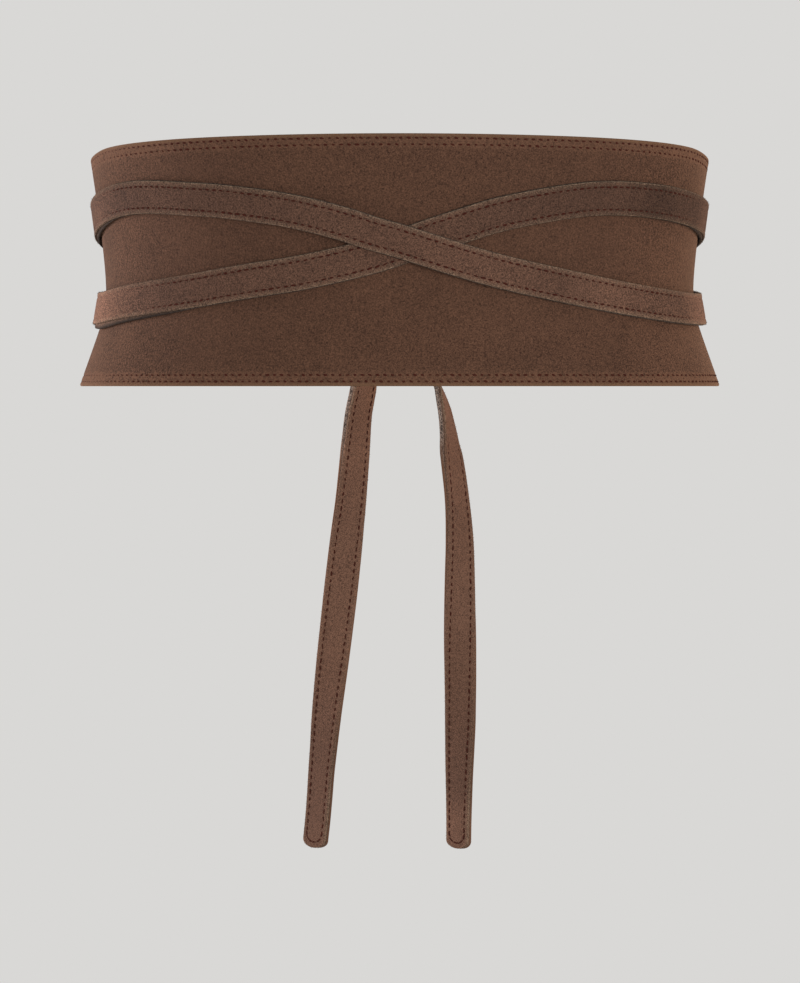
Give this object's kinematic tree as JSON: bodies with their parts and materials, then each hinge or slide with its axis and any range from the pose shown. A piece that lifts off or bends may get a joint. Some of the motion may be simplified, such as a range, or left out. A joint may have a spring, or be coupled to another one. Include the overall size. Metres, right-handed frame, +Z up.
{
  "type": "suede cummerbund (wrap belt)",
  "caption": "Wide suede wrap belt worn as an hourglass round the waist; two long ties cross in front and are knotted behind with hanging ends.",
  "frame": {"origin": "centre of the waist opening at its narrowest line, 41 mm above the belt's lower edge", "axes": "+Z up along the waist, -Y towards the viewer in front, +X to the viewer's right"},
  "size_m": [0.2848, 0.2212, 0.323],
  "materials": {
    "panel_suede": "matt suede nap",
    "tie_suede": "matt suede nap"
  },
  "bodies": {
    "root": {"panel": "panel_suede", "tie_over": "tie_suede", "tie_under": "tie_suede", "knot": "tie_suede"}
  },
  "joints": []
}
